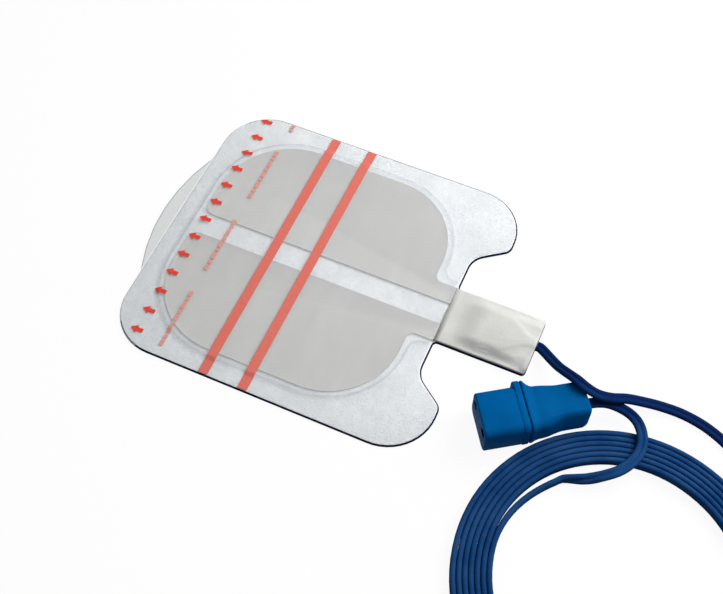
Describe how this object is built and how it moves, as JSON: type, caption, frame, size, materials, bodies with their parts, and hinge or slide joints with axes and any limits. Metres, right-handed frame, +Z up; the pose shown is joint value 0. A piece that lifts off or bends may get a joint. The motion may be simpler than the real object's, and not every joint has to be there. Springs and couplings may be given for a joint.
{
  "type": "electrosurgical return electrode",
  "caption": "Self-adhesive split return electrode: foam pad, foil and gel lobes under a clear formed liner, covered tail, coiled flat cord and moulded plug with sockets.",
  "frame": {"origin": "on the surface it lies on, under the middle of the pad, its pull tab and its tail", "axes": "+X along the pad from the pull tab to the tail and cord, +Y across the pad, +Z up through the layers"},
  "size_m": [0.3572, 0.2538, 0.0207],
  "materials": {
    "foam": "fine matt foam",
    "cover_foam": "soft matt foam",
    "foil": "thin rolled foil",
    "gel": "smooth tacky hydrogel",
    "film": "clear formed film with red print",
    "tin": "tinned brass strip",
    "cord": "blue extruded twin sheath",
    "paper": "plain white paper",
    "hard_moulding": "blue moulding, light satin",
    "grip": "blue overmoulded grip, satin"
  },
  "bodies": {
    "root": {"backing_foam": "foam", "foil_left": "foil", "foil_right": "foil", "gel_left": "gel", "gel_right": "gel", "release_liner": "film", "tail_cover": "cover_foam", "terminal_left": "tin", "terminal_right": "tin", "wire_left": "cord", "wire_right": "cord", "cable_lead": "cord", "cable_coil": "cord", "cable_plug_run": "cord", "coil_band": "paper", "plug_insert": "hard_moulding", "plug_grip": "grip", "contact_left": "tin", "contact_right": "tin"}
  },
  "joints": []
}
